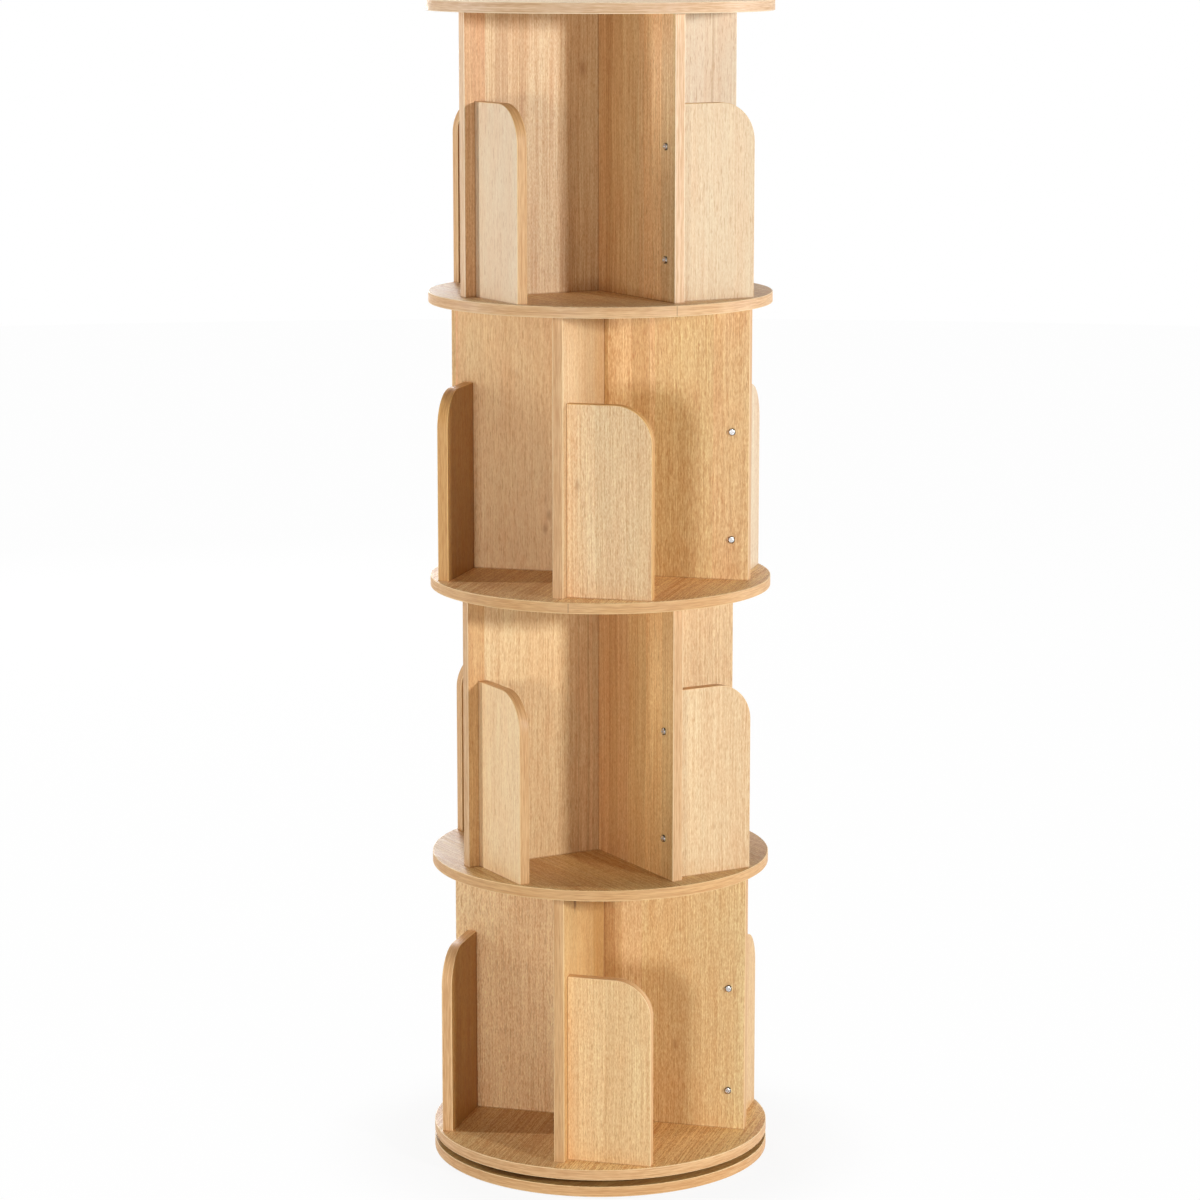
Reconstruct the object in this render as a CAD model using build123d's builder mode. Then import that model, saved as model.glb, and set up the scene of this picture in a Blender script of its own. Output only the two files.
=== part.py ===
from build123d import *
from math import cos, radians, sin, sqrt, tan
import os

# A four-tier revolving bookcase of thin oak-finish board.
# Origin on the floor under the middle of the base, +Z up, millimetres.
# Tiers are counted from the floor up. Each tier has four wings in a cross, and each wing
# carries one upright stop board on its anticlockwise face, seen from above.

# Boards
board_thickness = 12.0
disc_diameter = 380.0
tier_count = 4
tier_height = 305.0             # clear height between two round boards
tier_turn = 45.0                # each tier stands turned by this angle on the one below
arris_radius = 0.8              # softened edges of every board

# Wings and stop boards
wing_count = 4
wing_setback = 19.0             # disc's edge to the outer end of a wing
stop_inset = 13.0               # outer end of a wing to the outer face of its stop board
stop_edge_margin = 2.5          # disc's edge to the outermost corner of a stop board
stop_headroom = 95.0            # top of a stop board to the round board over it
stop_corner_radius = 42.0

# Bearing between base and tower
plate_side = 150.0
plate_thickness = 1.5
plate_corner_radius = 10.0
lower_plate_turn = 45.0         # degrees, against the upper plate
plate_screw_edge_distance = 10.0    # from the plate's two nearest sides
race_edge_distance = 15.0       # plate's side to the middle of the ball race
ball_diameter = 4.76
ball_count = 24
race_depth = 0.38               # how far a ball sinks into each plate
race_clearance = 0.03
cage_thickness = 1.6
cage_width = 10.0
cage_clearance = 0.15           # round each ball
cage_step_gap = 5.5             # cage to the step in the upper plate
step_gap = 2.0                  # that step to the rolled lip of the lower plate's collar
lip_reach = 6.0                 # how far the lip stands out from the collar
lip_gap = 0.3                   # lip to the upper plate's inner rim under it
lip_headroom = 0.5              # lip to the turntable shelf
collar_gap = 1.2                # collar to the upper plate's inner rim
access_hole_diameter = 14.0     # in the base, for the driver that reaches the upper screws

# Anti-slip pads under the base
pad_count = 6
pad_diameter = 24.0
pad_thickness = 1.5
pad_edge_margin = 13.0          # disc's edge to the edge of a pad

# Screws and dowels
stop_screw_diameter = 4.0
stop_screw_length = 35.0
stop_screw_head_diameter = 8.0
stop_screw_head_height = 2.6
stop_screw_end_distance = 45.0  # from the stop board's foot and from its top
shelf_screw_diameter = 4.0
shelf_screw_length = 50.0
shelf_screw_head_diameter = 8.0
shelf_screw_inner_radius = 60.0
shelf_screw_end_distance = 31.0     # from the outer end of a wing
plate_screw_diameter = 3.0
plate_screw_length = 10.5
plate_screw_head_diameter = 7.0
plate_screw_head_height = 1.6
screw_point_length = 3.0
screw_tip_share = 0.25          # of the shank's diameter
screw_clearance = 0.1           # round a shank
screw_hole_spare = 1.0          # pilot hole deeper than the screw's point
plate_screw_hole_spare = 0.5
pan_head_rounding = 0.55        # of the head's height
countersink_angle = 90.0
recess_width = 1.0              # cross recess in every screw head
recess_share = 0.55             # its span, of the head's diameter
recess_depth = 1.0
dowel_diameter = 6.0
dowel_chamfer = 0.6
dowel_clearance = 0.05
dowel_end_gap = 0.5
dowel_skin = 3.0                # wood left over a dowel in a round board
panel_dowel_depth = 19.0        # of a dowel in the top edge of a panel
panel_dowel_inner_radius = 60.0
panel_dowel_end_distance = 41.0     # from the outer end of a wing
cross_dowel_depth = 15.0        # in each wing panel
cross_dowel_low = 80.0          # height over the tier's floor
cross_dowel_drop = 80.0         # depth under the tier's ceiling

# What follows from the sizes above
disc_radius = disc_diameter / 2
wing_reach = disc_radius - wing_setback
stop_outer = wing_reach - stop_inset
stop_inner = stop_outer - board_thickness
stop_middle = stop_outer - board_thickness / 2
wing_face = board_thickness / 2
stop_width = sqrt((disc_radius - stop_edge_margin) ** 2 - stop_outer ** 2) - wing_face
stop_height = tier_height - stop_headroom
bearing_height = 2 * plate_thickness + ball_diameter - 2 * race_depth
base_bottom = pad_thickness
bearing_bottom = base_bottom + board_thickness
bearing_top = bearing_bottom + bearing_height
ball_level = bearing_bottom + bearing_height / 2
tier_pitch = tier_height + board_thickness
plate_screw_radius = (plate_side / 2 - plate_screw_edge_distance) * sqrt(2)
race_radius = plate_side / 2 - race_edge_distance
step_outer = race_radius - cage_width / 2 - cage_step_gap
step_inner = step_outer - plate_thickness
collar_radius = step_inner - step_gap - lip_reach
shelf_screw_radii = (shelf_screw_inner_radius, wing_reach - shelf_screw_end_distance)
panel_dowel_radii = (panel_dowel_inner_radius, wing_reach - panel_dowel_end_distance)
stop_screw_heights = (stop_screw_end_distance, stop_height - stop_screw_end_distance)
cross_dowel_heights = (cross_dowel_low, tier_height - cross_dowel_drop)
stop_screw_hole = stop_screw_diameter + 2 * screw_clearance
shelf_screw_hole = shelf_screw_diameter + 2 * screw_clearance
plate_screw_hole = plate_screw_diameter + 2 * screw_clearance
plate_screw_hole_depth = plate_screw_length - plate_thickness + plate_screw_hole_spare
dowel_hole = dowel_diameter + 2 * dowel_clearance

UPWARD = (Align.CENTER, Align.CENTER, Align.MIN)


def floor_of(tier):
    """Height of the floor that a tier's wings stand on, tiers counted from 1."""
    return bearing_top + board_thickness + (tier - 1) * tier_pitch


def wing_angles(tier):
    """Directions of a tier's wings, in degrees from +X."""
    return [(tier - 1) * tier_turn + wing * 360 / wing_count for wing in range(wing_count)]


def plate_corners(turn):
    """Directions of a square plate's corners, in degrees from +X."""
    return [turn + (corner + 0.5) * 90 for corner in range(4)]


def wing_plane(angle, height):
    """Level plane whose local X runs out along a wing."""
    return Plane.XY.offset(height).rotated((0, 0, angle))


def places_on_wings(angles, radii, height, pointing_up=True):
    """Places on the wings' centre lines, with local Z up or down."""
    tilt = 0 if pointing_up else 180
    return [
        Location((radius * cos(radians(angle)), radius * sin(radians(angle)), height), (tilt, 0, 0))
        for angle in angles
        for radius in radii
    ]


def place_across_wing(angle, radius, side, height):
    """Place beside a wing's centre line, with local Z level and pointing anticlockwise."""
    wing = wing_plane(angle, height)
    origin = wing.from_local_coords((radius, side, 0))
    return Plane(origin=origin, x_dir=wing.x_dir, z_dir=wing.y_dir).location


def write(piece, name):
    """Label a finished piece and write it as one file."""
    piece.part.label = name
    export_step(piece.part, f"parts/{name}.step")


# ---------------------------------------------------------------- fasteners, each in its own frame


def cross_recess(face, head_diameter):
    """Cut the cross recess into a screw head whose outer face is at this local height."""
    with Locations((0, 0, face)):
        for turn in (0, 90):
            Box(
                head_diameter * recess_share,
                recess_width,
                recess_depth,
                rotation=(0, 0, turn),
                align=UPWARD,
                mode=Mode.SUBTRACT,
            )


def screw_shank(diameter, length):
    """Shank from local height 0 along +Z, with its point."""
    Cylinder(diameter / 2, length - screw_point_length, align=UPWARD)
    with Locations((0, 0, length - screw_point_length)):
        Cone(diameter / 2, diameter * screw_tip_share / 2, screw_point_length, align=UPWARD)


def pan_head_screw(diameter, length, head_diameter, head_height):
    """Screw whose head seats at local height 0 and whose shank points along +Z."""
    with BuildPart() as screw:
        screw_shank(diameter, length)
        with Locations((0, 0, -head_height)):
            Cylinder(head_diameter / 2, head_height, align=UPWARD)
        fillet(screw.edges().group_by(Axis.Z)[0], head_height * pan_head_rounding)
        cross_recess(-head_height, head_diameter)
    return screw


def countersunk_screw(diameter, length, head_diameter):
    """Screw whose flat head face is at local height 0 and whose shank points along +Z."""
    head_height = (head_diameter - diameter) / 2 / tan(radians(countersink_angle / 2))
    with BuildPart() as screw:
        screw_shank(diameter, length)
        Cone(head_diameter / 2, diameter / 2, head_height, align=UPWARD)
        cross_recess(0, head_diameter)
    return screw


def dowel(length):
    """Dowel that starts at local height 0 and points along +Z."""
    with BuildPart() as pin:
        Cylinder(dowel_diameter / 2, length, align=UPWARD)
        chamfer(pin.edges().filter_by(GeomType.CIRCLE), dowel_chamfer)
    return pin


def group(piece, places):
    """The same fastener at each of these places."""
    with BuildPart() as copies:
        with Locations(*places):
            add(piece.part)
    return copies


def drill(places, diameter, depth):
    """Cut a blind round hole along local +Z at each of these places."""
    with Locations(*places):
        Cylinder(diameter / 2, depth, align=UPWARD, mode=Mode.SUBTRACT)


stop_screw = pan_head_screw(
    stop_screw_diameter, stop_screw_length, stop_screw_head_diameter, stop_screw_head_height
)
plate_screw = pan_head_screw(
    plate_screw_diameter, plate_screw_length, plate_screw_head_diameter, plate_screw_head_height
)
shelf_screw = countersunk_screw(
    shelf_screw_diameter, shelf_screw_length, shelf_screw_head_diameter
)
panel_dowel = dowel(panel_dowel_depth + board_thickness - dowel_skin - dowel_end_gap)
cross_dowel = dowel(board_thickness + 2 * cross_dowel_depth)


# ---------------------------------------------------------------- base

os.makedirs("parts", exist_ok=True)

lower_corners = plate_corners(lower_plate_turn)
upper_corners = plate_corners(0)
lower_screw_places = places_on_wings(lower_corners, [plate_screw_radius], bearing_bottom, False)
upper_screw_places = places_on_wings(upper_corners, [plate_screw_radius], bearing_top)
access_hole_places = places_on_wings(upper_corners[:1], [plate_screw_radius], base_bottom)

with BuildPart() as base_disc:
    with BuildSketch(Plane.XY.offset(base_bottom)):
        Circle(disc_radius)
    extrude(amount=board_thickness)
    fillet(base_disc.edges().filter_by(GeomType.CIRCLE), arris_radius)
    drill(lower_screw_places, plate_screw_hole, plate_screw_hole_depth)
    drill(access_hole_places, access_hole_diameter, board_thickness)
write(base_disc, "base_disc")

with BuildPart() as foot_pads:
    with BuildSketch():
        with PolarLocations(disc_radius - pad_edge_margin - pad_diameter / 2, pad_count):
            Circle(pad_diameter / 2)
    extrude(amount=pad_thickness)
write(foot_pads, "foot_pads")


# ---------------------------------------------------------------- bearing


def plate_blank(bottom, turn, screw_places):
    """Square pressed plate, solid in the middle, with its ball race and screw holes."""
    with BuildPart() as plate:
        with BuildSketch(Plane.XY.offset(bottom).rotated((0, 0, turn))):
            RectangleRounded(plate_side, plate_side, plate_corner_radius)
        extrude(amount=plate_thickness)
        with BuildSketch(Plane.XZ):
            with Locations((race_radius, ball_level)):
                Circle(ball_diameter / 2 + race_clearance)
        revolve(axis=Axis.Z, mode=Mode.SUBTRACT)
        with Locations(*screw_places):
            Cylinder(plate_screw_hole / 2, bearing_height, mode=Mode.SUBTRACT)
    return plate


def ring_section(inner, outer, bottom, top):
    """Rectangle in the sketch that is revolved about Z."""
    with Locations(((inner + outer) / 2, (bottom + top) / 2)):
        Rectangle(outer - inner, top - bottom)


lip_top = bearing_top - lip_headroom
rim_top = lip_top - plate_thickness - lip_gap
rim_inner = collar_radius + collar_gap

with BuildPart() as bearing_lower_plate:
    add(plate_blank(bearing_bottom, lower_plate_turn, lower_screw_places).part)
    with BuildSketch(Plane.XY.offset(bearing_bottom)):
        Circle(collar_radius - plate_thickness)
    extrude(amount=bearing_height, mode=Mode.SUBTRACT)
    with BuildSketch(Plane.XZ):
        ring_section(collar_radius - plate_thickness, collar_radius, bearing_bottom, lip_top)
        ring_section(
            collar_radius - plate_thickness,
            collar_radius + lip_reach,
            lip_top - plate_thickness,
            lip_top,
        )
    revolve(axis=Axis.Z)
write(bearing_lower_plate, "bearing_lower_plate")

with BuildPart() as bearing_upper_plate:
    add(plate_blank(bearing_top - plate_thickness, 0, upper_screw_places).part)
    with BuildSketch(Plane.XY.offset(bearing_bottom)):
        Circle(step_inner)
    extrude(amount=bearing_height, mode=Mode.SUBTRACT)
    with BuildSketch(Plane.XZ):
        ring_section(step_inner, step_outer, rim_top - plate_thickness, bearing_top)
        ring_section(rim_inner, step_outer, rim_top - plate_thickness, rim_top)
    revolve(axis=Axis.Z)
write(bearing_upper_plate, "bearing_upper_plate")

with BuildPart() as ball_cage:
    with BuildSketch(Plane.XY.offset(ball_level - cage_thickness / 2)):
        Circle(race_radius + cage_width / 2)
        Circle(race_radius - cage_width / 2, mode=Mode.SUBTRACT)
        with PolarLocations(race_radius, ball_count):
            Circle(ball_diameter / 2 + cage_clearance, mode=Mode.SUBTRACT)
    extrude(amount=cage_thickness)
write(ball_cage, "ball_cage")

with BuildPart() as bearing_balls:
    with Locations((0, 0, ball_level)):
        with PolarLocations(race_radius, ball_count):
            Sphere(ball_diameter / 2)
write(bearing_balls, "bearing_balls")

lower_seats = places_on_wings(
    lower_corners, [plate_screw_radius], bearing_bottom + plate_thickness, False
)
upper_seats = places_on_wings(upper_corners, [plate_screw_radius], bearing_top - plate_thickness)
write(group(plate_screw, lower_seats), "bearing_lower_screws")
write(group(plate_screw, upper_seats), "bearing_upper_screws")


# ---------------------------------------------------------------- round boards of the tower


def round_board(bottom, tier_above, tier_below):
    """Round board with the screw holes of the tier above it and the dowel holes of the one below."""
    with BuildPart() as board:
        with BuildSketch(Plane.XY.offset(bottom)):
            Circle(disc_radius)
        extrude(amount=board_thickness)
        fillet(board.edges().filter_by(GeomType.CIRCLE), arris_radius)
        if tier_above:
            with Locations(*places_on_wings(wing_angles(tier_above), shelf_screw_radii, bottom, False)):
                CounterSinkHole(
                    shelf_screw_diameter / 2 + screw_clearance,
                    shelf_screw_head_diameter / 2 + screw_clearance,
                    board_thickness,
                    countersink_angle,
                )
        if tier_below:
            drill(
                places_on_wings(wing_angles(tier_below), panel_dowel_radii, bottom),
                dowel_hole,
                board_thickness - dowel_skin,
            )
    return board


with BuildPart() as turntable_shelf:
    add(round_board(bearing_top, 1, None).part)
    drill(upper_screw_places, plate_screw_hole, plate_screw_hole_depth)
write(turntable_shelf, "turntable_shelf")

for tier in range(2, tier_count + 1):
    write(round_board(floor_of(tier) - board_thickness, tier, tier - 1), f"round_shelf_{tier}")
write(round_board(floor_of(tier_count) + tier_height, None, tier_count), "top_disc")


# ---------------------------------------------------------------- tiers


def drill_wing(angle, floor):
    """Holes of one wing: shelf screws below, panel dowels above, stop screws across."""
    shelf_screw_depth = shelf_screw_length - board_thickness + screw_hole_spare
    ceiling = floor + tier_height
    drill(
        places_on_wings([angle], shelf_screw_radii, floor),
        shelf_screw_hole,
        shelf_screw_depth,
    )
    drill(
        places_on_wings([angle], panel_dowel_radii, ceiling, False),
        dowel_hole,
        panel_dowel_depth + dowel_end_gap,
    )
    drill(stop_screw_places(angle, -wing_face, floor), stop_screw_hole, board_thickness)


def stop_screw_places(angle, side, floor):
    """Places of a wing's two stop screws at this distance beside its centre line."""
    return [place_across_wing(angle, stop_middle, side, floor + height) for height in stop_screw_heights]


def through_panel(angle, floor):
    """Panel that makes two opposite wings in one piece."""
    with BuildPart() as panel:
        with BuildSketch(wing_plane(angle, floor)):
            Rectangle(2 * wing_reach, board_thickness)
        extrude(amount=tier_height)
        fillet(panel.edges().filter_by(Axis.Z), arris_radius)
        drill_wing(angle, floor)
        drill_wing(angle + 180, floor)
        drill(
            [place_across_wing(angle, 0, -wing_face, floor + height) for height in cross_dowel_heights],
            dowel_hole,
            board_thickness,
        )
    return panel


def wing_panel(angle, floor):
    """Panel that butts against the middle of the through panel and makes one wing."""
    length = wing_reach - wing_face
    with BuildPart() as panel:
        with BuildSketch(wing_plane(angle, floor)):
            with Locations((wing_face + length / 2, 0)):
                Rectangle(length, board_thickness)
        extrude(amount=tier_height)
        outer_edges = panel.edges().filter_by(Axis.Z).sort_by_distance((0, 0, floor))[-2:]
        fillet(outer_edges, arris_radius)
        drill_wing(angle, floor)
        drill(
            [place_along_wing(angle, floor + height) for height in cross_dowel_heights],
            dowel_hole,
            cross_dowel_depth + dowel_end_gap,
        )
    return panel


def place_along_wing(angle, height):
    """Place on the through panel's face, with local Z pointing out along the wing."""
    wing = wing_plane(angle, height)
    return Plane(origin=wing.from_local_coords((wing_face, 0, 0)), z_dir=wing.x_dir).location


def stop_board(angle, floor):
    """Upright board across the end of a wing, square to it, with its top outer corner rounded."""
    wing = wing_plane(angle, floor)
    foot = Plane(
        origin=wing.from_local_coords((stop_inner, wing_face, 0)), x_dir=wing.y_dir, z_dir=wing.x_dir
    )
    with BuildPart() as board:
        with BuildSketch(foot) as outline:
            with Locations((stop_width / 2, stop_height / 2)):
                Rectangle(stop_width, stop_height)
            outer_top_corner = outline.vertices().sort_by(Axis.X)[-2:].sort_by(Axis.Y)[-1]
            fillet(outer_top_corner, stop_corner_radius)
        extrude(amount=board_thickness)
        fillet(board.edges().filter_by(GeomType.CIRCLE), arris_radius)
        drill(
            stop_screw_places(angle, wing_face, floor),
            stop_screw_hole,
            stop_screw_length - board_thickness + screw_hole_spare,
        )
    return board


for tier in range(1, tier_count + 1):
    floor = floor_of(tier)
    angles = wing_angles(tier)
    write(through_panel(angles[0], floor), f"tier_{tier}_through_panel")
    write(wing_panel(angles[1], floor), f"tier_{tier}_wing_panel_1")
    write(wing_panel(angles[3], floor), f"tier_{tier}_wing_panel_2")
    for number, angle in enumerate(angles, start=1):
        write(stop_board(angle, floor), f"tier_{tier}_stop_board_{number}")

    stop_screw_seats = [place for angle in angles for place in stop_screw_places(angle, -wing_face, floor)]
    write(group(stop_screw, stop_screw_seats), f"tier_{tier}_stop_screws")

    shelf_screw_seats = places_on_wings(angles, shelf_screw_radii, floor - board_thickness)
    write(group(shelf_screw, shelf_screw_seats), f"tier_{tier}_shelf_screws")

    dowel_foot = floor + tier_height - panel_dowel_depth
    write(
        group(panel_dowel, places_on_wings(angles, panel_dowel_radii, dowel_foot)),
        f"tier_{tier}_panel_dowels",
    )

    cross_dowel_starts = [
        place_across_wing(angles[0], 0, -wing_face - cross_dowel_depth, floor + height)
        for height in cross_dowel_heights
    ]
    write(group(cross_dowel, cross_dowel_starts), f"tier_{tier}_cross_dowels")
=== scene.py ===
import bpy
from itertools import count
from math import cos, pi, radians, sin
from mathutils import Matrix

# Looks of the revolving bookcase: oak-print boards with edge banding, chrome and zinc-plated
# steel, nylon, rubber and beech, in a white studio. Metres, in the frame of the CAD model.
# Tiers are counted from the floor up.

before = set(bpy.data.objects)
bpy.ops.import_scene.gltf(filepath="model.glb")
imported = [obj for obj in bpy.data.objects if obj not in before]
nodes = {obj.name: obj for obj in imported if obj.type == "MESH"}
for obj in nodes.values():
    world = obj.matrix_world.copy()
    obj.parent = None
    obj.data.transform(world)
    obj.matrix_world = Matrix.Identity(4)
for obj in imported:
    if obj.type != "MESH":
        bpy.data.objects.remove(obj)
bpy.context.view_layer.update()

# Sizes of the CAD model, for what the looks place on it
TIER_TURN = 45.0            # degrees by which each tier is turned on the one below
FIRST_FLOOR = 0.0325        # top of the lowest shelf
TIER_HEIGHT = 0.305         # from a tier's floor to its ceiling
TIER_PITCH = 0.317          # from a tier's floor to the next one
WING_FACE = 0.006           # a panel's face, from its middle
STOP_OUTER = 0.158          # a stop board's outer face, from the turning axis
STOP_MIDDLE = 0.152
STOP_HEIGHT = 0.210

UP = (0.0, 0.0, 1.0)
WHITE = (1.0, 1.0, 1.0)
FACING = (0.97, 0.80)       # cosines at which a surface faces a direction fully, and not at all
NOISE_RANGE = (0.3, 0.7)    # where most values of a noise pattern lie


def level_direction(angle):
    """Level unit vector at this many degrees from +X."""
    return (cos(radians(angle)), sin(radians(angle)), 0.0)


def times(values, factors):
    """Each value times its own factor."""
    return tuple(value * factor for value, factor in zip(values, factors))


# ---------------------------------------------------------------- shader graphs


class Graph:
    """The node tree of a material or world, built with short calls. Inputs are numbers, tuples
    or sockets."""

    def __init__(self, owner):
        self.owner = owner
        owner.use_nodes = True
        self.tree = owner.node_tree
        self.tree.nodes.clear()

    def coords(self, kind):
        return self.node("TexCoord").outputs[kind]

    def surface(self, shader):
        world = isinstance(self.owner, bpy.types.World)
        output = self.node("OutputWorld" if world else "OutputMaterial")
        self.tree.links.new(shader.outputs[0], output.inputs["Surface"])

    def node(self, kind, inputs=(), **settings):
        made = self.tree.nodes.new("ShaderNode" + kind)
        for key, value in settings.items():
            setattr(made, key, value)
        for key, value in dict(inputs).items():
            self.plug(made.inputs[key], value)
        return made

    def plug(self, socket, value):
        if isinstance(value, bpy.types.NodeSocket):
            self.tree.links.new(value, socket)
        elif socket.type == "RGBA":
            socket.default_value = (*value, 1.0)
        else:
            socket.default_value = value

    def math(self, operation, *values, clamp=False):
        made = self.node("Math", enumerate(values), operation=operation, use_clamp=clamp)
        return made.outputs[0]

    def dot(self, vector, axis):
        made = self.node("VectorMath", {0: vector, 1: axis}, operation="DOT_PRODUCT")
        return made.outputs["Value"]

    def length(self, vector):
        return self.node("VectorMath", {0: vector}, operation="LENGTH").outputs["Value"]

    def vector(self, x, y, z):
        return self.node("CombineXYZ", {0: x, 1: y, 2: z}).outputs[0]

    def scaled(self, vector, scale, offset):
        made = self.node("VectorMath", {0: vector, 1: scale, 2: offset}, operation="MULTIPLY_ADD")
        return made.outputs[0]

    def noise(self, vector, detail, roughness=0.5):
        inputs = {"Vector": vector, "Scale": 1.0, "Detail": detail, "Roughness": roughness}
        return self.node("TexNoise", inputs).outputs["Fac"]

    def ramp(self, value, low, high, to_low=0.0, to_high=1.0, smooth=False):
        made = self.node("MapRange", {0: value, 1: low, 2: high, 3: to_low, 4: to_high})
        made.interpolation_type = "SMOOTHSTEP" if smooth else "LINEAR"
        return made.outputs[0]

    def weighted(self, *terms):
        """Sum of (value, weight), each value counted from its middle, 0.5."""
        total = -0.5 * sum(weight for _, weight in terms)
        for value, weight in terms:
            total = self.math("MULTIPLY_ADD", value, weight, total)
        return total

    def mix(self, factor, a, b, blend="MIX"):
        made = self.node("Mix", data_type="RGBA", blend_type=blend)
        self.plug(made.inputs[0], factor)
        self.plug(made.inputs[6], a)
        self.plug(made.inputs[7], b)
        return made.outputs[2]

    def tinted(self, where, colour, factors):
        """The colour, scaled by these factors where the mask is 1."""
        return self.mix(where, colour, self.mix(1.0, colour, factors, "MULTIPLY"))

    def bump(self, height, distance, strength):
        made = self.node("Bump", {"Height": height, "Distance": distance, "Strength": strength})
        return made.outputs[0]


# ---------------------------------------------------------------- oak boards

OAK_RED = 0.735
PALE = (0.790, 0.520)       # green and blue, of the red, where the print is palest
WARM = (0.625, 0.235)       # the same where it is yellowest

# How fine the print's patterns are: cycles per metre across and along the grain
SLOW_DRIFT = (9.0, 7.0)
QUICK_DRIFT = (60.0, 34.0)
BANDS = (75.0, 1.8)
STREAKS = (230.0, 6.0)
LINES = (850.0, 7.0)
GRAINS = (900.0, 130.0)
FIBRES = (1400.0, 300.0)
PORES = (850.0, 80.0)
FLECKS = (260.0, 230.0)
PATCHES = (55.0, 16.0)
STAVES_PER_METRE = 24.0

# The same for the banding, across and along the edge
STRIPES = (420.0, 7.0)
DASHES = (1100.0, 60.0)

# How far the print's pattern and its staves move from one seed to the next
SEED_STEPS = (3.71, 1.93, 2.57)
STAVE_STEP = 5.3

# How far its lines waver and kink, in metres, and how much less they kink where straight is 1
WAVER = 0.006
KINKS = 0.0016
FEWER_KINKS = 0.0012

# A knot's eye: how much height counts against width, and its fray, middle and rim in sizes
EYE_STRETCH = 0.45
EYE_FRAY = 0.8
EYE_MIDDLE = 0.4
EYE_RIM = 1.7

# Masks: where they begin and end, and how strong they are
PORE_LEVELS = (0.60, 0.68)
PORE_STRENGTH = 0.45
ARRIS_LEVELS = (0.03, 0.16)
ARRIS_STRENGTH = 0.9
SEAM_WIDTHS = (0.0003, 0.0009)
JOINT_WIDTHS = (0.0004, 0.0010)
LINE_STRENGTH = 0.6

# Roughness at the streaks' two ends, depth of the pores, and bump (distance, strength)
PRINT_GLOSS = (0.42, 0.56)
PORE_DEPTH = 0.6
PRINT_BUMP = (0.0002, 0.2)

# Colour factors
PRINT_DARK = (0.76, 0.57, 0.44)
PRINT_LIGHT = (1.17, 1.32, 1.45)
LEAN_PINK = (1.0, 0.955, 0.94)
LEAN_YELLOW = (1.005, 1.04, 1.07)
PORE_SHADE = (0.80, 0.70, 0.60)
BANDING_DARK = (0.82, 0.64, 0.54)
BANDING_LIGHT = (1.08, 1.02, 1.06)
SEAM_SHADE = (0.42, 0.30, 0.20)
# painted highlight along the arris
PAINTED_ARRIS_HIGHLIGHT = (1.30, 1.45, 1.70)
# painted shadow in the joints between boards
PAINTED_JOINT_SHADOW = (0.55, 0.45, 0.36)


def oak_colour(tone, warmth):
    red = OAK_RED * tone
    return (red, *(red * (pale + (warm - pale) * warmth) for pale, warm in zip(PALE, WARM)))


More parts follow.
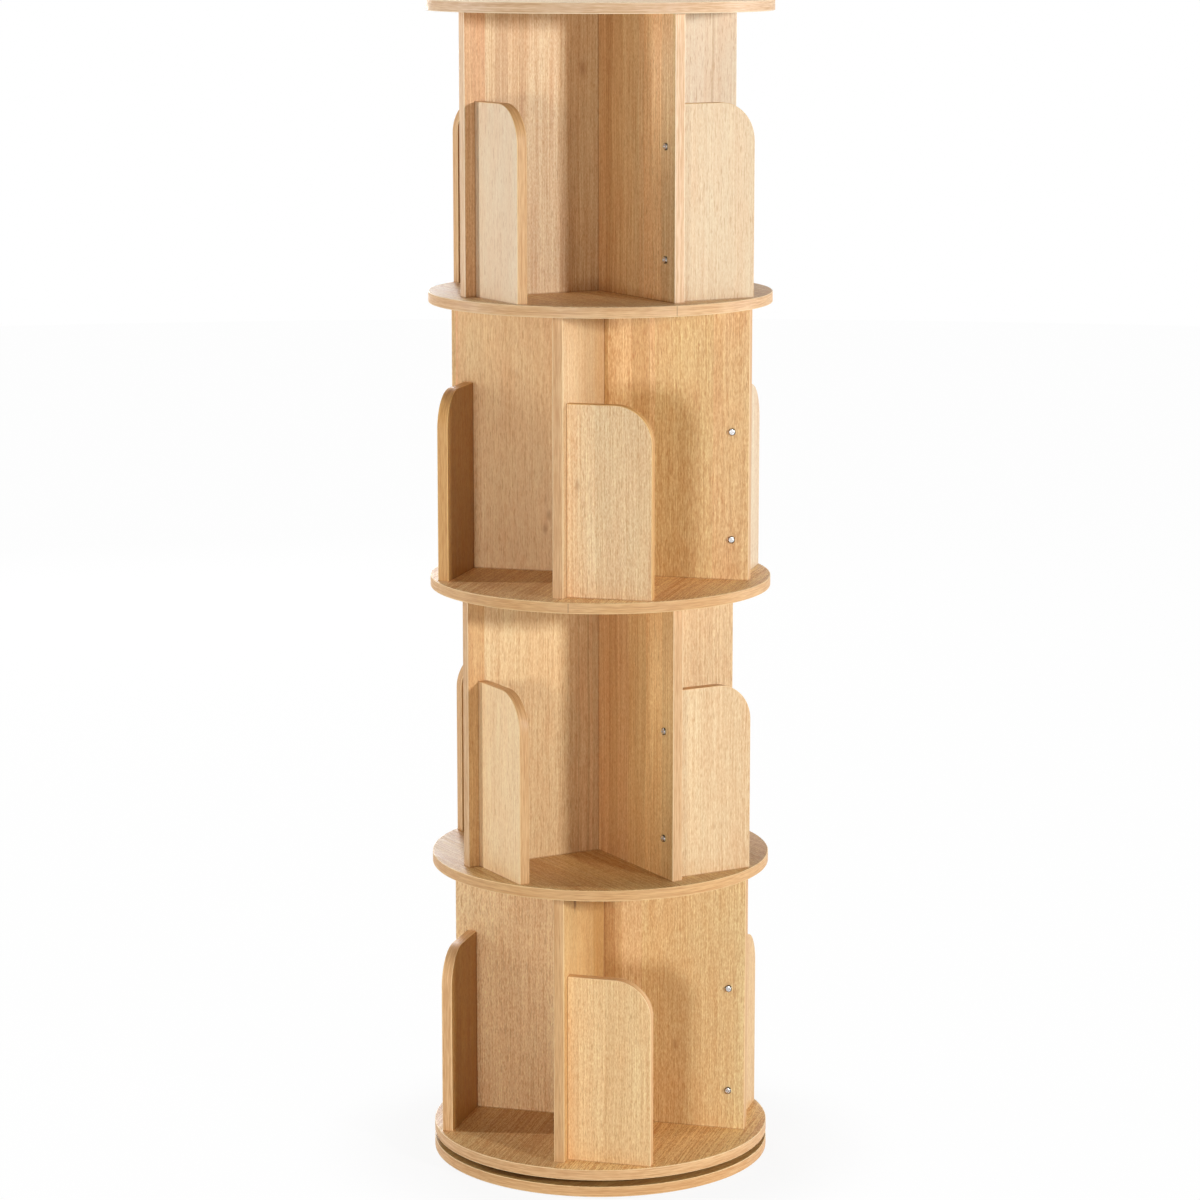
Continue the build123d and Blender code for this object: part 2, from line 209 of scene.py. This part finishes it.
class Board(Graph):
    """Material graph of one board. across, face and grain are the board's own directions; a, t
    and r are a point's place along them. seed sets the board's stretch of the endless print."""

    def __init__(self, name, across, face, grain, seed):
        super().__init__(bpy.data.materials.new(f"{name}_oak"))
        self.seed = seed
        self.shift = tuple(seed * step for step in SEED_STEPS)
        self.place = self.coords("Object")
        self.a = self.dot(self.place, across)
        self.t = self.dot(self.place, face)
        self.r = self.dot(self.place, grain)
        self.local = self.vector(self.a, self.t, self.r)
        self.facing = self.math("ABSOLUTE", self.dot(self.coords("Normal"), face))

    def print_noise(self, vector, cycles, detail, roughness=0.5, shifts=1.0):
        """Noise for the print, this many of the board's shifts away from the axis."""
        across, along = cycles
        offset = times(self.shift, (shifts, shifts, shifts))
        return self.noise(self.scaled(vector, (across, across, along), offset), detail, roughness)

    def banding_noise(self, cycles, detail, roughness=0.5):
        across, along = cycles
        vector = self.scaled(self.local, (along, across, along), self.shift)
        return self.noise(vector, detail, roughness)

    def drifted(self, straight):
        """The place across the board, along lines that waver slowly and in small kinks."""
        slow = self.print_noise(self.local, SLOW_DRIFT, 1.0)
        quick = self.print_noise(self.local, QUICK_DRIFT, 1.0)
        kinks = KINKS - FEWER_KINKS * straight
        return self.math("ADD", self.a, self.weighted((quick, kinks), (slow, WAVER)))

    def stave_values(self):
        """Two random values for each stave of the print."""
        shift = self.seed * STAVE_STEP
        across_staves = self.math("MULTIPLY_ADD", self.a, STAVES_PER_METRE, shift)
        inputs = {"W": across_staves, "Scale": 1.0}
        stave = self.node("TexVoronoi", inputs, voronoi_dimensions="1D")
        split = self.node("SeparateColor", {0: stave.outputs["Color"]})
        return split.outputs[0], split.outputs[1]

    def with_knot(self, colour, streaks, dark, knot):
        """The colour with a dark eye in it, drawn out along the grain and frayed by the streaks.
        knot is (across, along, size, strength, shade)."""
        across, along, size, strength, shade = knot
        beside = self.math("SUBTRACT", self.a, across)
        above = self.math("MULTIPLY", self.math("SUBTRACT", self.r, along), EYE_STRETCH)
        reach = self.length(self.vector(beside, above, 0.0))
        frayed = self.math("MULTIPLY_ADD", streaks, size * EYE_FRAY, reach)
        middle, rim = size * EYE_MIDDLE, size * EYE_RIM
        eye = self.ramp(frayed, middle, rim, strength, 0.0, smooth=True)
        return self.mix(eye, colour, times(dark, shade))

    def banding_colour(self, base, seam):
        """The edge banding, with a dark line where its ends meet if seam is a direction."""
        stripes = self.banding_noise(STRIPES, 3.0, 0.6)
        dashes = self.banding_noise(DASHES, 2.0)
        level = self.math("ADD", self.weighted((stripes, 2.4), (dashes, 2.6)), 0.5, clamp=True)
        colour = self.mix(level, times(base, BANDING_DARK), times(base, BANDING_LIGHT))
        if seam is None:
            return colour
        past = self.math("ABSOLUTE", self.dot(self.place, level_direction(seam + 90)))
        ahead = self.math("GREATER_THAN", self.dot(self.place, level_direction(seam)), 0.0)
        line = self.ramp(past, *SEAM_WIDTHS, LINE_STRENGTH, 0.0)
        return self.mix(self.math("MULTIPLY", line, ahead), colour, times(base, SEAM_SHADE))

    def joint_shadow_mask(self, floor, is_panel):
        """Mask of the painted shadow lines where a tier's board meets shelves, a panel or a stop
        board.
        """
        over_floor = self.math("SUBTRACT", self.r, floor)
        under_ceiling = self.math("SUBTRACT", floor + TIER_HEIGHT, self.r)
        beside_panel = self.math("SUBTRACT", self.math("ABSOLUTE", self.a), WING_FACE)
        gap = self.math("MINIMUM", over_floor, under_ceiling)
        gap = self.math("MINIMUM", gap, beside_panel)
        if is_panel:
            reach = self.math("MULTIPLY", self.a, self.math("SIGN", self.t))
            beside = self.math("ABSOLUTE", self.math("SUBTRACT", reach, STOP_OUTER))
            above = self.math("SUBTRACT", self.r, floor + STOP_HEIGHT)
            gap = self.math("MINIMUM", gap, self.math("MAXIMUM", beside, above))
        return self.ramp(gap, *JOINT_WIDTHS, LINE_STRENGTH, 0.0)


def oak(
    name,
    directions,
    seed,
    straight,
    look,
    edge_look,
    strips=(),
    knots=(),
    painted_inner_shade=None,
    seam=None,
    floor=None,
    is_panel=False,
):
    """Foil-printed oak board with banded edges. directions are across its face, square to the
    face and along the grain; straight is 0 for short flecks and 1 for long lines; look is the
    print's (tone, warmth, contrast), and edge_look the banding's (tone, warmth). strips are
    bands of a plainly different shade, (from, to, colour factors) across the board: some are
    staves of the print, the others painted shade and painted light; knots are as in with_knot;
    the factors given for a stop board's side towards the axis are painted shade; seam is the
    direction from the axis in which the ends of the banding meet, in degrees. The arris between
    face and edge gets a painted highlight. A tier's board has painted shadow lines at its joints:
    floor is the height that it stands at, and a panel gets them where it meets a stop board too."""
    g = Board(name, *directions, seed)
    drift = g.drifted(straight)
    wavy = g.vector(drift, g.t, g.r)
    stave_tone, stave_hue = g.stave_values()

    bands = g.print_noise(wavy, BANDS, 2.0)
    streaks = g.print_noise(wavy, STREAKS, 2.0, 0.6)
    lines = g.print_noise(wavy, LINES, 0.0)
    grains = g.print_noise(wavy, GRAINS, 0.0)
    fibres = g.print_noise(wavy, FIBRES, 1.0)
    pores = g.print_noise(wavy, PORES, 1.0, shifts=2.0)
    flecks = g.print_noise(g.local, FLECKS, 2.0)
    patches = g.print_noise(g.local, PATCHES, 2.0)

    value = g.weighted(
        (bands, 0.35),
        (streaks, 0.25),
        (lines, 0.4 + straight),
        (grains, 1.3 - straight),
        (fibres, 1.5),
        (flecks, 0.05),
        (stave_tone, 0.15),
    )
    tone, warmth, contrast = look
    level = g.math("MULTIPLY_ADD", value, contrast, 0.5, clamp=True)
    base = oak_colour(tone, warmth)
    dark = times(base, PRINT_DARK)
    colour = g.mix(level, dark, times(base, PRINT_LIGHT))

    # patches lean to pink or to yellow
    hue = g.math("ADD", g.weighted((patches, 2.0), (stave_hue, 0.5)), 0.5, clamp=True)
    colour = g.mix(1.0, colour, g.mix(hue, LEAN_PINK, LEAN_YELLOW), "MULTIPLY")

    # strips: staves of the print, and painted shade and painted light
    for start, end, factors in strips:
        inside = g.math("COMPARE", drift, (start + end) / 2, (end - start) / 2)
        colour = g.tinted(inside, colour, factors)
    # painted shade on a stop board's side towards the axis
    if painted_inner_shade is not None:
        colour = g.tinted(g.math("LESS_THAN", g.t, STOP_MIDDLE), colour, painted_inner_shade)
    pore_mask = g.ramp(pores, *PORE_LEVELS, 0.0, PORE_STRENGTH)
    colour = g.mix(pore_mask, colour, times(dark, PORE_SHADE))
    for knot in knots:
        colour = g.with_knot(colour, streaks, dark, knot)

    # banding where the surface looks away from the face, and a painted highlight on the arris
    # between the two
    edge_base = oak_colour(*edge_look)
    on_edge = g.ramp(g.facing, *FACING)
    colour = g.mix(on_edge, colour, g.banding_colour(edge_base, seam))
    arris = g.math("MULTIPLY", g.facing, g.math("SUBTRACT", 1.0, g.facing))
    arris_highlight = g.ramp(arris, *ARRIS_LEVELS, 0.0, ARRIS_STRENGTH)
    colour = g.mix(arris_highlight, colour, times(edge_base, PAINTED_ARRIS_HIGHLIGHT))
    # painted shadow along the joints
    if floor is not None:
        colour = g.mix(g.joint_shadow_mask(floor, is_panel), colour, times(dark, PAINTED_JOINT_SHADOW))

    relief = g.math("MULTIPLY_ADD", pore_mask, -PORE_DEPTH, grains)
    normal = g.bump(relief, *PRINT_BUMP)
    gloss = g.ramp(streaks, *NOISE_RANGE, *PRINT_GLOSS)
    inputs = {"Base Color": colour, "Roughness": gloss, "Normal": normal}
    g.surface(g.node("BsdfPrincipled", inputs))
    return g.owner


def paint(name, material):
    """Give a CAD node this material in place of the plain one it was packed with."""
    mesh = nodes[name].data
    mesh.materials.clear()
    mesh.materials.append(material)


# node: direction of the grain in degrees, look, look of the edge
round_boards = {
    # the base disc's faces are darker and browner: painted shade for the gap under the turntable
    "base_disc": (60.0, (0.66, 1.15, 1.0), (1.02, 0.79)),
    "turntable_shelf": (90.0, (0.955, 0.84, 1.5), (1.03, 0.69)),
    "round_shelf_2": (135.0, (0.80, 0.96, 1.6), (0.925, 0.86)),
    "round_shelf_3": (90.0, (1.09, 0.67, 1.5), (0.905, 0.83)),
    "round_shelf_4": (135.0, (1.0, 0.5, 1.3), (0.915, 0.65)),
    "top_disc": (90.0, (1.0, 0.4, 1.0), (0.95, 0.28)),
}
ROUND_BOARDS_STRAIGHT = 0.6
seams = {"round_shelf_3": 275.0, "round_shelf_4": 310.8}

# painted shade on one half of a shelf and painted light on the other
painted_light_halves = {
    "turntable_shelf": ((0.0, 0.2, (0.92, 0.90, 0.90)), (-0.2, 0.0, (1.15, 1.15, 1.11))),
    "round_shelf_3": ((0.0, 0.2, (0.96, 0.95, 0.97)), (-0.2, 0.0, (1.12, 1.10, 1.06))),
}
for seed, (name, (angle, look, edge_look)) in enumerate(round_boards.items(), start=1):
    directions = level_direction(angle + 90), UP, level_direction(angle)
    marks = {"strips": painted_light_halves.get(name, ()), "seam": seams.get(name)}
    paint(name, oak(name, directions, seed, ROUND_BOARDS_STRAIGHT, look, edge_look, **marks))

# The print varies from board to board, and the looks below also hold painted light and painted
# shade. For a tier: how straight its lines are, the usual look, and how the edges of its panels and
# of its stop boards look
tier_looks = {
    1: (0.50, (1.0, 0.75, 0.9), (0.93, 0.80), (1.01, 0.73)),
    2: (0.60, (1.0, 0.6, 0.7), (0.925, 0.61), (0.915, 0.79)),
    3: (0.55, (1.0, 0.55, 0.9), (0.91, 0.70), (0.85, 1.10)),
    4: (0.75, (1.0, 0.25, 0.7), (1.045, 0.22), (0.915, 0.81)),
}
# boards brighter or darker than their tier: partly the print's own tone, partly painted light and
# painted shade
board_looks = {
    "tier_1_stop_board_4": (1.20, 0.72, 0.85),
    "tier_1_through_panel": (1.15, 0.62, 0.9),
    "tier_1_wing_panel_2": (1.00, 0.88, 1.0),
    "tier_2_stop_board_3": (1.23, 0.50, 0.47),
    "tier_2_stop_board_4": (1.02, 0.43, 0.56),
    "tier_2_through_panel": (1.03, 0.58, 0.60),
    "tier_2_wing_panel_2": (1.01, 0.87, 1.0),
    "tier_3_stop_board_3": (1.13, 0.52, 0.75),
    "tier_3_stop_board_4": (1.00, 0.03, 0.8),
    "tier_3_through_panel": (0.985, 0.45, 1.0),
    "tier_3_wing_panel_1": (1.20, 0.64, 0.50),
    "tier_3_wing_panel_2": (1.08, 0.76, 0.85),
    "tier_4_stop_board_1": (0.88, 0.60, 0.7),
    "tier_4_stop_board_2": (1.13, 0.02, 0.29),
    "tier_4_stop_board_3": (0.97, 0.15, 0.37),
    "tier_4_through_panel": (1.00, 0.72, 1.0),
    "tier_4_wing_panel_1": (0.985, 0.47, 0.8),
    "tier_4_wing_panel_2": (1.02, -0.18, 0.36),
}

# (from, to, colour factors) across the board: some are staves of the print, the others painted
# shade and painted light
# painted shade along a stop board's edge beside its panel
PAINTED_SHADE_BESIDE_PANEL = (0.0, 0.0105, (0.78, 0.70, 0.60))
staves_and_painted_light = {
    "tier_1_stop_board_3": (PAINTED_SHADE_BESIDE_PANEL,),
    "tier_1_stop_board_4": ((0.020, 0.050, (1.06, 1.08, 1.10)),),
    "tier_1_through_panel": (
        (0.0055, 0.018, (0.66, 0.55, 0.42)),
        (0.018, 0.026, (0.76, 0.70, 0.60)),
        (0.026, 0.050, (0.93, 0.94, 0.92)),
        (0.050, 0.170, (0.94, 0.985, 0.92)),
        (-0.170, -0.045, (1.11, 1.11, 1.13)),
    ),
    "tier_1_wing_panel_2": ((0.0, 0.052, (0.88, 0.82, 0.72)), (0.120, 0.150, (0.92, 0.90, 0.88))),
    "tier_2_through_panel": (
        (-0.150, -0.045, (1.03, 1.07, 1.08)),
        (-0.170, -0.150, (0.92, 0.80, 0.65)),
        (-0.036, -0.005, (0.92, 0.86, 0.82)),
        (-0.014, 0.0, (0.90, 0.88, 0.85)),
        (-0.0205, -0.018, (0.82, 0.78, 0.72)),
        (-0.0325, -0.031, (0.86, 0.84, 0.80)),
        (0.080, 0.170, (1.05, 1.10, 1.17)),
    ),
    "tier_2_wing_panel_2": (
        (0.0, 0.075, (0.94, 0.88, 0.92)),
        (0.030, 0.050, (0.88, 0.84, 0.78)),
        (0.095, 0.165, (1.05, 1.07, 1.08)),
        (0.112, 0.147, (1.13, 1.13, 1.13)),
    ),
    "tier_3_stop_board_2": (PAINTED_SHADE_BESIDE_PANEL,),
    "tier_3_stop_board_3": ((0.015, 0.038, (1.06, 1.08, 1.10)), (0.084, 0.105, (0.95, 0.93, 0.90))),
    "tier_3_through_panel": ((-0.045, 0.0, (0.96, 0.92, 0.86)),),
    "tier_3_wing_panel_1": (
        (0.1608, 0.1640, (1.04, 1.05, 1.09)),
        (0.1640, 0.1665, (1.03, 0.93, 0.95)),
        (0.1665, 0.1720, (0.93, 0.95, 0.92)),
    ),
    "tier_3_wing_panel_2": (
        (0.0055, 0.0115, (0.76, 0.67, 0.53)),
        (0.0115, 0.034, (1.04, 1.07, 1.10)),
        (0.038, 0.058, (0.88, 0.85, 0.78)),
        (0.064, 0.130, (0.97, 1.03, 1.0)),
    ),
    "tier_4_through_panel": (
        (-0.060, 0.0, (0.91, 0.84, 0.79)),
        (-0.037, -0.022, (0.88, 0.83, 0.77)),
        (-0.165, -0.095, (1.09, 1.08, 1.12)),
        (-0.142, -0.105, (1.12, 1.10, 1.08)),
    ),
    "tier_4_wing_panel_1": (
        (0.0, 0.046, (0.96, 0.91, 0.84)),
        (0.055, 0.092, (1.05, 1.09, 1.16)),
        (0.098, 0.104, (0.91, 0.86, 0.82)),
        (0.118, 0.134, (0.90, 0.86, 0.84)),
        (0.146, 0.170, (0.97, 0.80, 0.70)),
    ),
    "tier_4_wing_panel_2": (
        (0.080, 0.128, (1.02, 1.06, 1.10)),
        (0.138, 0.1405, (0.84, 0.78, 0.72)),
    ),
}

# (across, along, size, strength, shade), where along is the height over the ground
KNOT = (0.6, (0.66, 0.52, 0.42))
DARK_MARK = (0.97, (0.24, 0.09, 0.02))
board_knots = {
    "tier_1_through_panel": ((0.090, 0.126, 0.004, *KNOT),),
    "tier_1_wing_panel_2": ((0.127, 0.320, 0.006, *DARK_MARK),),
    "tier_3_stop_board_3": ((0.018, 0.789, 0.004, *KNOT),),
    "tier_3_wing_panel_1": (
        (0.058, 0.730, 0.003, *KNOT),
        (0.050, 0.722, 0.003, *KNOT),
        (0.063, 0.714, 0.003, *KNOT),
    ),
    "tier_4_wing_panel_1": ((0.026, 1.226, 0.005, *KNOT),),
}

# painted shade: colour factors of the side towards the axis
painted_inner_shades = {
    "tier_1_stop_board_3": (0.67, 0.57, 0.39),
    "tier_2_stop_board_2": (0.62, 0.50, 0.38),
    "tier_3_stop_board_2": (0.61, 0.49, 0.31),
    "tier_4_stop_board_1": (0.62, 0.50, 0.38),
}


def boards_of(tier):
    """A tier's boards: name, directions and whether it is a panel."""
    panels = ("through_panel", "wing_panel_1", None, "wing_panel_2")
    for wing, panel in enumerate(panels):
        angle = (tier - 1) * TIER_TURN + wing * 90
        outward, aside = level_direction(angle), level_direction(angle + 90)
        if panel is not None:
            yield f"tier_{tier}_{panel}", (outward, aside, UP), True
        yield f"tier_{tier}_stop_board_{wing + 1}", (aside, outward, UP), False


FIRST_TIER_SEED = 11        # the round boards have lower ones
seeds = count(FIRST_TIER_SEED)
for tier, (straight, usual, panel_edge, stop_edge) in tier_looks.items():
    for name, directions, is_panel in boards_of(tier):
        material = oak(
            name,
            directions,
            next(seeds),
            straight,
            board_looks.get(name, usual),
            panel_edge if is_panel else stop_edge,
            strips=staves_and_painted_light.get(name, ()),
            knots=board_knots.get(name, ()),
            painted_inner_shade=painted_inner_shades.get(name),
            floor=FIRST_FLOOR + (tier - 1) * TIER_PITCH,
            is_panel=is_panel,
        )
        paint(name, material)


# ---------------------------------------------------------------- metal, plastic, rubber, dowels

WIPE_STRETCH = 0.2          # wipe marks are drawn out along Z
PLATING_CYCLES = (90.0, 90.0, 90.0)
PLATING_SHIFT = (3.0, 5.0, 7.0)
PLATING_DULL = (0.90, 0.90, 0.91)
# painted shade and dark reflection in screw recesses and at their rims
PAINTED_RECESS_SHADE = (0.22, 0.21, 0.20)
GRIT_SHIFT = (1.0, 2.0, 3.0)
GRIT_ROUGHNESS = 0.12       # what a non-metal's grit adds to its roughness
METAL_BUMP = (0.00005, 0.1)
GRIT_BUMP = (0.0001, 0.3)


def metal(name, colour, smooth, rough, scale, faces=()):
    """Plated steel with fine random wipe marks, scale per metre, and a slight unevenness of the
    plating. smooth and rough are its least and most roughness. What looks along none of the
    directions in faces is darker: painted shade in a screw's recess and a painted dark reflection
    at its rim."""
    g = Graph(bpy.data.materials.new(name))
    place = g.coords("Object")
    wiped = g.scaled(place, (scale, scale, scale * WIPE_STRETCH), (0.0, 0.0, 0.0))
    marks = g.noise(wiped, 4.0, 0.65)
    cloud = g.noise(g.scaled(place, PLATING_CYCLES, PLATING_SHIFT), 2.0)
    tint = g.mix(cloud, times(colour, PLATING_DULL), colour)
    # painted shade and dark reflection where the surface turns away from the head's faces
    if faces:
        normal = g.coords("Normal")
        flat = 0.0
        for face in faces:
            flat = g.math("MAXIMUM", flat, g.math("ABSOLUTE", g.dot(normal, face)))
        tint = g.mix(g.ramp(flat, *FACING), tint, times(colour, PAINTED_RECESS_SHADE))
    gloss = g.ramp(marks, *NOISE_RANGE, smooth, rough)
    normal = g.bump(marks, *METAL_BUMP)
    inputs = {"Base Color": tint, "Roughness": gloss, "Normal": normal, "Metallic": 1.0}
    g.surface(g.node("BsdfPrincipled", inputs))
    return g.owner


def plain(name, dark, light, rough, scale, stretch=1.0):
    """Non-metal with fine mottling, scale per metre, drawn out along Z where stretch is under 1."""
    g = Graph(bpy.data.materials.new(name))
    place = g.scaled(g.coords("Object"), (scale, scale, scale * stretch), GRIT_SHIFT)
    grit = g.noise(place, 3.0, 0.6)
    tint = g.mix(g.ramp(grit, *NOISE_RANGE), dark, light)
    gloss = g.ramp(grit, *NOISE_RANGE, rough, rough + GRIT_ROUGHNESS)
    normal = g.bump(grit, *GRIT_BUMP)
    inputs = {"Base Color": tint, "Roughness": gloss, "Normal": normal}
    g.surface(g.node("BsdfPrincipled", inputs))
    return g.owner


zinc = metal("zinc_plate", (0.60, 0.61, 0.64), 0.30, 0.46, 900.0)
bearing_steel = metal("bearing_plate_steel", (0.58, 0.59, 0.61), 0.34, 0.52, 500.0)
polished = metal("polished_steel", (0.74, 0.74, 0.76), 0.05, 0.12, 2000.0)
nylon = plain("natural_nylon", (0.74, 0.73, 0.68), (0.82, 0.81, 0.77), 0.42, 1200.0)
rubber = plain("black_rubber", (0.018, 0.018, 0.019), (0.034, 0.034, 0.035), 0.78, 2500.0)
beech = plain("beech_dowel", (0.58, 0.42, 0.26), (0.72, 0.56, 0.38), 0.55, 1500.0, 0.05)

for tier in tier_looks:
    faces = level_direction((tier - 1) * TIER_TURN), level_direction((tier + 1) * TIER_TURN)
    chrome = metal(f"chrome_{tier}", (0.70, 0.70, 0.70), 0.09, 0.22, 1500.0, faces)
    paint(f"tier_{tier}_stop_screws", chrome)
for name in nodes:
    if name.endswith("_screws") and not name.endswith("stop_screws"):
        paint(name, zinc)
    elif name.endswith("_dowels"):
        paint(name, beech)
for name in ("bearing_lower_plate", "bearing_upper_plate"):
    paint(name, bearing_steel)
paint("bearing_balls", polished)
paint("ball_cage", nylon)
paint("foot_pads", rubber)


# ---------------------------------------------------------------- studio

FLOOR_GREY = (0.80, 0.80, 0.80)
FLOOR_RADIUS = 9.0
COVER_RADII = (0.19, 0.36)
COVER = (0.90, 0.985)       # how much white covers the floor's grey at these two radii
AMBIENT = (1.0, 0.98, 0.96)
AMBIENT_LEVEL = 0.02
AIM_HEIGHT = 0.7


def seen_directly(g):
    """1 for rays that show the backdrop itself, 0 for rays that carry light to the object."""
    rays = g.node("LightPath")
    glossy = g.math("MAXIMUM", rays.outputs["Is Camera Ray"], rays.outputs["Is Glossy Ray"])
    return g.math("MAXIMUM", glossy, rays.outputs["Is Transmission Ray"])


# the floor is white to the eye, but less so near the base, where the object's shadow shows
g = Graph(bpy.data.materials.new("studio_floor"))
ground = g.node("BsdfDiffuse", {"Color": FLOOR_GREY}).outputs[0]
white = g.node("Emission", {"Color": WHITE, "Strength": 1.0}).outputs[0]
cover = g.ramp(g.length(g.coords("Object")), *COVER_RADII, *COVER, smooth=True)
covered = g.math("MULTIPLY", seen_directly(g), cover)
g.surface(g.node("MixShader", {0: covered, 1: ground, 2: white}))

bpy.ops.mesh.primitive_circle_add(vertices=96, radius=FLOOR_RADIUS, fill_type="NGON")
floor = bpy.context.object
floor.name = "studio_floor"
floor.data.materials.append(g.owner)

world = bpy.data.worlds.new("studio_world")
bpy.context.scene.world = world
g = Graph(world)
ambient = g.node("Background", {"Color": AMBIENT, "Strength": AMBIENT_LEVEL}).outputs[0]
white = g.node("Background", {"Color": WHITE, "Strength": 1.0}).outputs[0]
g.surface(g.node("MixShader", {0: seen_directly(g), 1: ambient, 2: white}))


def softbox(name, azimuth, distance, height, width, tall, level):
    """Area light at this many degrees from +X, aimed at the tower's middle. level is how brightly
    it alone would show a white surface that faces it there."""
    lamp = bpy.data.lights.new(name, "AREA")
    lamp.shape = "RECTANGLE"
    lamp.size = width
    lamp.size_y = tall
    lamp.energy = level * pi**2 * (distance**2 + (height - AIM_HEIGHT) ** 2)
    light = bpy.data.objects.new(name, lamp)
    x, y, _ = level_direction(azimuth)
    light.location = (x * distance, y * distance, height)
    aim = bpy.data.objects.new(name + "_aim", None)
    aim.location = (0.0, 0.0, AIM_HEIGHT)
    track = light.constraints.new("TRACK_TO")
    track.target = aim
    track.track_axis = "TRACK_NEGATIVE_Z"
    track.up_axis = "UP_Y"
    for o in (light, aim):
        bpy.context.scene.collection.objects.link(o)


# azimuth, distance, height, width, tall, level
softbox("key", 329.5, 5.0, 1.7, 0.45, 0.45, 0.57)
softbox("left_strip", 193.2, 2.0, 1.3, 0.10, 1.6, 0.52)
softbox("right_fill", 28.5, 4.0, 1.2, 1.2, 1.6, 0.45)
softbox("front_fill", 267.5, 4.0, 0.85, 0.6, 0.6, 0.29)
softbox("top_fill", 285.5, 0.05, 2.2, 0.3, 0.3, 0.20)
softbox("back_fill", 120.0, 4.0, 1.5, 1.2, 1.6, 0.44)


# ---------------------------------------------------------------- camera

CAMERA_AZIMUTH = 15.5       # degrees from -Y towards +X
CAMERA_DISTANCE = 4.0413
CAMERA_SIDEWAYS = -0.0005
CAMERA_HEIGHT = 1.37875
CAMERA_DOWN = 10.425        # degrees under level
LENS_MM = 109.98
SENSOR_MM = 36.0

camera_data = bpy.data.cameras.new("camera")
camera_data.lens = LENS_MM
camera_data.sensor_width = SENSOR_MM
camera = bpy.data.objects.new("camera", camera_data)
bpy.context.scene.collection.objects.link(camera)
turn = radians(CAMERA_AZIMUTH)
camera.location = (
    CAMERA_DISTANCE * sin(turn) + CAMERA_SIDEWAYS * cos(turn),
    -CAMERA_DISTANCE * cos(turn) + CAMERA_SIDEWAYS * sin(turn),
    CAMERA_HEIGHT,
)
camera.rotation_euler = (radians(90.0 - CAMERA_DOWN), 0.0, turn)
bpy.context.scene.camera = camera
bpy.context.scene.view_settings.view_transform = "Standard"
